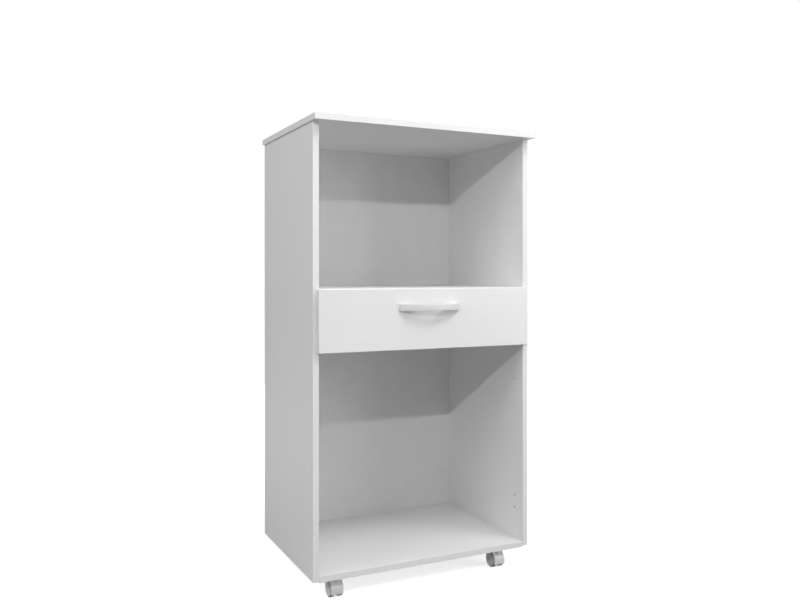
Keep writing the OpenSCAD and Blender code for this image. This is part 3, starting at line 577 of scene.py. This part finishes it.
def bevel_edges(piece, width, segments):
    """Rounds the sharp edges of a piece and shades it smoothly."""
    make_active(piece)
    bevel = piece.modifiers.new("soft_edges", "BEVEL")
    bevel.width = width
    bevel.segments = segments
    bevel.limit_method = "ANGLE"
    bevel.angle_limit = SHARP_ANGLE
    bpy.ops.object.modifier_apply(modifier=bevel.name)
    bpy.ops.object.shade_smooth_by_angle(angle=SMOOTH_ANGLE)


def merged_copy(name, source):
    """A copy of a frame piece with its own mesh, its loose triangles joined."""
    piece = nodes[source].copy()
    piece.data = nodes[source].data.copy()
    piece.name = name
    piece.parent = None
    piece.matrix_world = Matrix.Identity(4)
    bpy.context.scene.collection.objects.link(piece)
    make_active(piece)
    bpy.ops.object.mode_set(mode="EDIT")
    bpy.ops.mesh.select_all(action="SELECT")
    bpy.ops.mesh.remove_doubles(threshold=MERGE)
    bpy.ops.object.mode_set(mode="OBJECT")
    return piece


def stand_for(piece, node, body, material):
    """Lets a finished piece take the place of a frame piece."""
    piece.data.materials.clear()
    piece.data.materials.append(material)
    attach(piece, body)
    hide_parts(node)


print("selected after loading:", len(bpy.context.selected_objects))
deselect_all()

# %% [markdown]
# ## The handle
#
# The handle is moulded plastic, with every edge rounded so that it feels soft in the hand. All its
# sharp edges get the bevel, with four segments, because this is the piece that a hand meets.

# %% The handle
HANDLE_RADIUS = 1.4 * MM
handle = merged_copy("moulded_handle", "drawer_handle")
bevel_edges(handle, HANDLE_RADIUS, 4)
stand_for(handle, "drawer_handle", "drawer", satin.material)
print("handle faces:", len(handle.data.polygons))

# %% [markdown]
# ## Board edges
#
# An edge band is sanded to a small radius where it meets the face, and the foil of the drawer front
# is wrapped round a larger one. Only the edges of a board's own outline are rounded: the rims of
# drilled holes stay crisp. A bevel on the drilled board would have to thread between the holes, so
# a plain block of the board's size is bevelled instead, and a boolean keeps what both share. The
# large faces are then shaded flat, so that the roundings beside them don't bend their light.


# %% Board edges
BAND_RADIUS = 0.6 * MM
FOIL_RADIUS = 1.2 * MM
FLAT_FACE = 0.999


def rounded_block(low, high, radius):
    """A block between two corners with all its edges rounded."""
    deselect_all()
    bpy.ops.mesh.primitive_cube_add(size=1, location=(low + high) / 2)
    block = bpy.context.object
    block.scale = high - low
    bpy.ops.object.transform_apply(location=True, scale=True)
    bpy.ops.object.mode_set(mode="EDIT")
    bpy.ops.mesh.select_all(action="SELECT")
    bpy.ops.mesh.bevel(offset=radius, segments=3)
    bpy.ops.object.mode_set(mode="OBJECT")
    return block


def soften_board(node, body, radius):
    """A copy of a board with rounded outline edges takes the board's place."""
    material = nodes[node].material_slots[0].material
    piece = merged_copy("soft_" + node, node)
    block = rounded_block(*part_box(node), radius)
    make_active(piece)
    shared = piece.modifiers.new("rounded_outline", "BOOLEAN")
    shared.operation = "INTERSECT"
    shared.solver = "EXACT"
    shared.object = block
    bpy.ops.object.modifier_apply(modifier=shared.name)
    bpy.data.objects.remove(block)
    bpy.ops.object.shade_smooth_by_angle(angle=SMOOTH_ANGLE)
    for polygon in piece.data.polygons:
        if max(abs(part) for part in polygon.normal) > FLAT_FACE:
            polygon.use_smooth = False
    stand_for(piece, node, body, material)
    print(piece.name, "faces:", len(piece.data.polygons))


for node in ("left_side", "right_side", "top_board", "bottom_board"):
    soften_board(node, "cabinet", BAND_RADIUS)
soften_board("drawer_front", "drawer", FOIL_RADIUS)

# %% [markdown]
# ## Screws
#
# All the screws that show have a rounded head with a cross recess. The frame draws each as two
# plain cylinders, so it says where every screw is, which way it faces and how big it is. The
# helpers below split a frame piece into its separate screws, and read those sizes from the corner
# points of each one.


# %% Screws, measured in the frame
TOUCH = 0.01 * MM
RIM_FROM = 0.98


def loose_parts(name):
    """The corner points of each separate solid in a frame piece."""
    mesh = bmesh.new()
    mesh.from_mesh(nodes[name].data)
    bmesh.ops.remove_doubles(mesh, verts=mesh.verts, dist=MERGE)
    found, parts = set(), []
    for start in mesh.verts:
        if start in found:
            continue
        found.add(start)
        queue, part = [start], []
        while queue:
            vertex = queue.pop()
            part.append(vertex.co.copy())
            for edge in vertex.link_edges:
                other = edge.other_vert(vertex)
                if other not in found:
                    found.add(other)
                    queue.append(other)
        parts.append(part)
    mesh.free()
    return sorted(parts, key=lambda part: [round(c, 5) for c in sum(part, Vector()) / len(part)])


def measure_screw(points):
    """The head's seat, the way the head faces, and the sizes of head and shank."""
    low = Vector(min(point[i] for point in points) for i in range(3))
    high = Vector(max(point[i] for point in points) for i in range(3))
    middle = (low + high) / 2
    along = max(range(3), key=lambda i: high[i] - low[i])

    def radius(point):
        away = point - middle
        away[along] = 0
        return away.length

    head_r = max(radius(point) for point in points)
    rim = [point[along] for point in points if radius(point) > RIM_FROM * head_r]
    faces = 1 if high[along] - max(rim) < min(rim) - low[along] else -1
    top, tip = (high[along], low[along]) if faces == 1 else (low[along], high[along])
    seat = min(rim) if faces == 1 else max(rim)
    shank_r = max(radius(point) for point in points if abs(point[along] - tip) < TOUCH)
    place, axis = middle.copy(), Vector()
    place[along], axis[along] = seat, faces
    return place, axis, head_r, abs(top - seat), shank_r, abs(seat - tip)


print("screws in the castor plates:", len(loose_parts("castor_screws")))

# %% [markdown]
# ## A pan head
#
# One screw is modelled at the origin, its head upwards. The head starts as a cylinder, and a wide
# bevel on its top rim alone rounds it into a pan. The edges of that rim are picked by their height,
# because no others lie in the top plane of the head.


# %% A pan head
RIM_SHARE = 0.62


def pan_head(name, head_r, head_h):
    """A screw's head, its underside at the origin and its top rim rounded."""
    deselect_all()
    bpy.ops.mesh.primitive_cylinder_add(vertices=32, radius=head_r, depth=head_h,
                                        location=(0, 0, head_h / 2))
    head = bpy.context.object
    head.name = name
    bpy.ops.object.transform_apply(location=True)
    bpy.ops.object.mode_set(mode="EDIT")
    bpy.ops.mesh.select_all(action="DESELECT")
    bpy.ops.object.mode_set(mode="OBJECT")
    for edge in head.data.edges:
        ends = [head.data.vertices[v].co for v in edge.vertices]
        edge.select = all(end.z > head_h - TOUCH for end in ends)
    bpy.ops.object.mode_set(mode="EDIT")
    bpy.ops.mesh.select_mode(type="EDGE")
    bpy.ops.mesh.bevel(offset=head_h * RIM_SHARE, segments=5)
    bpy.ops.object.mode_set(mode="OBJECT")
    return head


print("the rim's rounding takes", RIM_SHARE, "of the head's height")

# %% [markdown]
# ## The cross recess
#
# The driver's cross is cut out of the head by a boolean, with one long block and then the same
# block a quarter turn on. Each block narrows towards the floor of the recess, as the tip of the
# driver does. A boolean suits it, because the cross crosses the rings of faces of the round head.


# %% The cross recess
RECESS_WIDTH = 0.58
RECESS_DEPTH = 0.62
ARM_WIDTH = 0.2
FLOOR_WIDTH = 0.55


def cut_cross(head, head_r, head_h):
    """Cuts a cross recess that narrows towards its floor."""
    recess = 2 * head_r * RECESS_WIDTH
    for turn in (0.0, pi / 2):
        deselect_all()
        bpy.ops.mesh.primitive_cube_add(size=1, location=(0, 0, head_h))
        cutter = bpy.context.object
        cutter.scale = (recess, recess * ARM_WIDTH, 2 * head_h * RECESS_DEPTH)
        cutter.rotation_euler = (0, 0, turn)
        bpy.ops.object.transform_apply(location=True, rotation=True, scale=True)
        for vertex in cutter.data.vertices:
            if vertex.co.z < head_h:
                vertex.co.xy *= FLOOR_WIDTH
        make_active(head)
        cut = head.modifiers.new("recess", "BOOLEAN")
        cut.operation = "DIFFERENCE"
        cut.solver = "EXACT"
        cut.object = cutter
        bpy.ops.object.modifier_apply(modifier=cut.name)
        bpy.data.objects.remove(cutter)


print("the cross takes", RECESS_WIDTH, "of the head's width and", RECESS_DEPTH, "of its height")

# %% [markdown]
# ## The whole screw
#
# The shank is a plain cylinder, because it is buried in the board. It reaches a little way into the
# head, so that the two overlap and no gap can show between them.


# %% The whole screw
OVERLAP = 0.1 * MM
SCREW_SMOOTH_ANGLE = radians(35)


def add_shank(head, shank_r, shank_l):
    """Joins a plain shank to the underside of the head."""
    deselect_all()
    bpy.ops.mesh.primitive_cylinder_add(vertices=24, radius=shank_r, depth=shank_l + OVERLAP,
                                        location=(0, 0, (OVERLAP - shank_l) / 2))
    bpy.ops.object.transform_apply(location=True)
    head.select_set(True)
    bpy.context.view_layer.objects.active = head
    bpy.ops.object.join()


def screw_master(name, head_r, head_h, shank_r, shank_l):
    """A screw along Z, its head's underside at the origin and its head upwards."""
    screw = pan_head(name, head_r, head_h)
    cut_cross(screw, head_r, head_h)
    add_shank(screw, shank_r, shank_l)
    bpy.ops.object.shade_smooth_by_angle(angle=SCREW_SMOOTH_ANGLE)
    return screw


print("the shanks reach", OVERLAP / MM, "mm into their heads")

# %% [markdown]
# ## Screws of every kind
#
# The same helper makes the screws of the castor plates, the handle, the rails and the drawer's
# back. One screw of each kind is copied to each place and turned a little each time, because no two
# screws stop at the same angle. Each set becomes one piece that stands for the frame's plain screws
# and moves with the same body: what is screwed to the drawer rides on the drawer.


# %% Screws of every kind
FIRST_TURN_DEG, NEXT_TURN_DEG = 17, 53


def screw_set(name, replaced, body):
    """Detailed screws in place of a frame piece with plain ones."""
    measured = [measure_screw(points) for points in loose_parts(replaced)]
    master = screw_master(name + "_master", *measured[0][2:])
    copies = []
    for number, (place, axis, *_) in enumerate(measured):
        copy = bpy.data.objects.new(f"{name}_{number}", master.data.copy())
        bpy.context.scene.collection.objects.link(copy)
        spin = Matrix.Rotation(radians(FIRST_TURN_DEG + NEXT_TURN_DEG * number), 4, "Z")
        turn = axis.to_track_quat("Z", "Y").to_matrix().to_4x4()
        copy.data.transform(Matrix.Translation(place) @ turn @ spin)
        copies.append(copy)
    bpy.data.objects.remove(master)
    deselect_all()
    for copy in copies:
        copy.select_set(True)
    bpy.context.view_layer.objects.active = copies[0]
    bpy.ops.object.join()
    piece = bpy.context.object
    piece.name = name
    stand_for(piece, replaced, body, plated.material)
    _, _, head_r, head_h, shank_r, shank_l = measured[0]
    print(name, len(measured), "screws, head", round(2 * head_r / MM, 1), "x",
          round(head_h / MM, 1), "mm, shank", round(2 * shank_r / MM, 1), "x",
          round(shank_l / MM, 1), "mm")


screw_set("castor_pan_screws", "castor_screws", "cabinet")
screw_set("rail_pan_screws", "cabinet_rail_screws", "cabinet")
screw_set("drawer_rail_pan_screws", "drawer_rail_screws", "drawer")
screw_set("drawer_back_sunk_screws", "drawer_back_screws", "drawer")
screw_set("handle_pan_screws", "handle_screws", "drawer")

# %% [markdown]
# ## Camera
#
# The photograph was taken from the front left, with the camera level and a little above the
# middle of the rack. The lens and the place were worked out from the edges of the boards: lines
# along the width and lines along the depth each meet at their own point, which gives the lens and
# the direction, and the height of the side panels gives the distance. The picture is shifted
# slightly downwards, which keeps the uprights vertical.

# %% Camera
CAMERA_PLACE = Vector((-909.7, -1904.8, 761.9)) * MM
CAMERA_TURN = radians(25.8)
FOCAL_PX = 798.9
HORIZON_PX = 274.9
PICTURE_W, PICTURE_H = 800, 600

camera_data = bpy.data.cameras.new("camera")
camera_data.sensor_width = 36.0
camera_data.lens = FOCAL_PX / PICTURE_W * camera_data.sensor_width
camera_data.shift_y = (HORIZON_PX - PICTURE_H / 2) / PICTURE_W
camera_data.clip_end = 60.0
camera = bpy.data.objects.new("camera", camera_data)
camera.location = CAMERA_PLACE
camera.rotation_euler = (pi / 2, 0, -CAMERA_TURN)
bpy.context.scene.collection.objects.link(camera)
bpy.context.scene.camera = camera
print("lens", round(camera_data.lens, 2), "mm, shift", round(camera_data.shift_y, 4))

# %% [markdown]
# ## Two looks for the studio
#
# The floor and the background look white, but they mustn't light the rack as white walls would, or
# its shaded sides would be as bright as the rest. So each has two shaders. The camera's own rays,
# and those in reflections and glass, meet the white one. All other light meets a much darker one.


# %% Two looks for the studio
DIRECT_RAYS = ("Is Camera Ray", "Is Glossy Ray", "Is Transmission Ray")


def seen_directly(tree):
    """1 for the camera's own rays and for those in reflections and glass."""
    path = tree.nodes.new("ShaderNodeLightPath")
    total = path.outputs[DIRECT_RAYS[0]]
    for name in DIRECT_RAYS[1:]:
        add = tree.nodes.new("ShaderNodeMath")
        add.operation = "MAXIMUM"
        tree.links.new(total, add.inputs[0])
        tree.links.new(path.outputs[name], add.inputs[1])
        total = add.outputs[0]
    return total


def show_both(tree, output, bounced, seen):
    """Sends one shader to the light that bounces, and another to what is seen directly."""
    mix = tree.nodes.new("ShaderNodeMixShader")
    tree.links.new(seen_directly(tree), mix.inputs[0])
    tree.links.new(bounced.outputs[0], mix.inputs[1])
    tree.links.new(seen.outputs[0], mix.inputs[2])
    tree.links.new(mix.outputs[0], tree.nodes.new(output).inputs["Surface"])


print("white is seen by:", DIRECT_RAYS)

# %% [markdown]
# ## Floor
#
# Seen directly, the floor is a very light diffuse surface, so it takes the shadow of the castors.
# It also glows, faintly near the rack and fully farther out, where it has to meet the white
# background without an edge. For the light that bounces back onto the rack it is a mid grey, as a
# real studio floor is.

# %% Floor
FLOOR_COLOUR = 0.9
FLOOR_BOUNCE = 0.25
GLOW_NEAR, GLOW_FAR = 0.72, 1.0
NEAR_R, FAR_R = 0.45, 1.5


def grey_diffuse(tree, grey):
    """A matt grey shader."""
    shader = tree.nodes.new("ShaderNodeBsdfDiffuse")
    shader.inputs["Color"].default_value = (grey, grey, grey, 1)
    return shader


deselect_all()
bpy.ops.mesh.primitive_plane_add(size=40, location=(0, 0, FLOOR_Z))
floor = bpy.context.object
floor.name = "studio_floor"
floor_finish = bpy.data.materials.new("pale_floor")
floor_finish.use_nodes = True
tree = floor_finish.node_tree
tree.nodes.clear()
place = tree.nodes.new("ShaderNodeTexCoord")
distance = tree.nodes.new("ShaderNodeVectorMath")
distance.operation = "LENGTH"
tree.links.new(place.outputs["Object"], distance.inputs[0])
fade = tree.nodes.new("ShaderNodeMapRange")
fade.inputs["From Min"].default_value = NEAR_R
fade.inputs["From Max"].default_value = FAR_R
fade.inputs["To Min"].default_value = GLOW_NEAR
fade.inputs["To Max"].default_value = GLOW_FAR
tree.links.new(distance.outputs["Value"], fade.inputs["Value"])
glow = tree.nodes.new("ShaderNodeEmission")
tree.links.new(fade.outputs["Result"], glow.inputs["Strength"])
lit_and_glowing = tree.nodes.new("ShaderNodeAddShader")
tree.links.new(grey_diffuse(tree, FLOOR_COLOUR).outputs[0], lit_and_glowing.inputs[0])
tree.links.new(glow.outputs[0], lit_and_glowing.inputs[1])
show_both(tree, "ShaderNodeOutputMaterial", grey_diffuse(tree, FLOOR_BOUNCE), lit_and_glowing)
floor.data.materials.append(floor_finish)
print("floor at", round(FLOOR_Z, 3), "m, fully white from", FAR_R, "m out")

# %% [markdown]
# ## Background
#
# The background is the world around the scene. Seen directly it is white, at a strength of 1. The
# lamps do nearly all the lighting, so the world adds only a trace of even light.

# %% Background
AMBIENT = 0.02
world = bpy.data.worlds.new("studio")
world.use_nodes = True
bpy.context.scene.world = world
tree = world.node_tree
tree.nodes.clear()
ambient = tree.nodes.new("ShaderNodeBackground")
ambient.inputs["Strength"].default_value = AMBIENT
backdrop = tree.nodes.new("ShaderNodeBackground")
backdrop.inputs["Color"].default_value = (1, 1, 1, 1)
backdrop.inputs["Strength"].default_value = 1.0
show_both(tree, "ShaderNodeOutputWorld", ambient, backdrop)
print("strength of the world for the rack:", AMBIENT)

# %% [markdown]
# ## Lights
#
# Six soft lamps light the rack. The shapes of the shadows in the photograph tell where they
# stand. A long strip at the front left draws the sharp diagonal on the inside of the right panel.
# Two lamps high up, one overhead and one farther forwards, light the bottom board and the front
# edges. The second stands a little to the right, so the low, soft shadow of the handle leans to
# the left. Broad lamps at the left and at the front right even out the sides and the front. The
# last lamp stands behind, for views of the back alone. Each row of the list gives a lamp's name,
# its place, the point that it faces, its width and height in metres, and its power in watts. The
# view transform is Standard, so that a colour renders about as it is written.


# %% Lights
def add_lamp(name, place, target, width, height, power):
    """A rectangular lamp at a place, facing a target."""
    data = bpy.data.lights.new(name, "AREA")
    data.shape = "RECTANGLE"
    data.size = width
    data.size_y = height
    data.energy = power
    lamp = bpy.data.objects.new(name, data)
    lamp.location = place
    lamp.rotation_euler = (Vector(target) - Vector(place)).to_track_quat("-Z", "Y").to_euler()
    bpy.context.scene.collection.objects.link(lamp)


RACK_MIDDLE = (0, 0, 0.56)
LAMPS = [
    ("strip_front_left", (-1.6, -2.2, 1.795), (-1.6, -0.19, 0.58), 2.0, 0.06, 25.5),
    ("overhead", (0.1, -0.75, 2.9), (0, -0.3, 0.4), 1.4, 0.5, 6),
    ("front_top", (0.6, -1.6, 2.9), (0, -0.2, 0.5), 1.6, 0.8, 39),
    ("left_front", (-3.0, -1.0, 2.1), (0, 0, 0.7), 1.4, 1.4, 38),
    ("front_right", (2.6, -2.4, 1.4), RACK_MIDDLE, 1.8, 1.8, 51),
    ("behind", (0.9, 3.2, 1.2), RACK_MIDDLE, 2.0, 2.0, 50),
]
for lamp in LAMPS:
    add_lamp(*lamp)
bpy.context.scene.view_settings.view_transform = "Standard"

# %% [markdown]
# ## Sizes
#
# The dressed rack must keep the size of the frame, so the frame's box is printed.

# %% Print the frame's box
print("frame box:", cad_box)
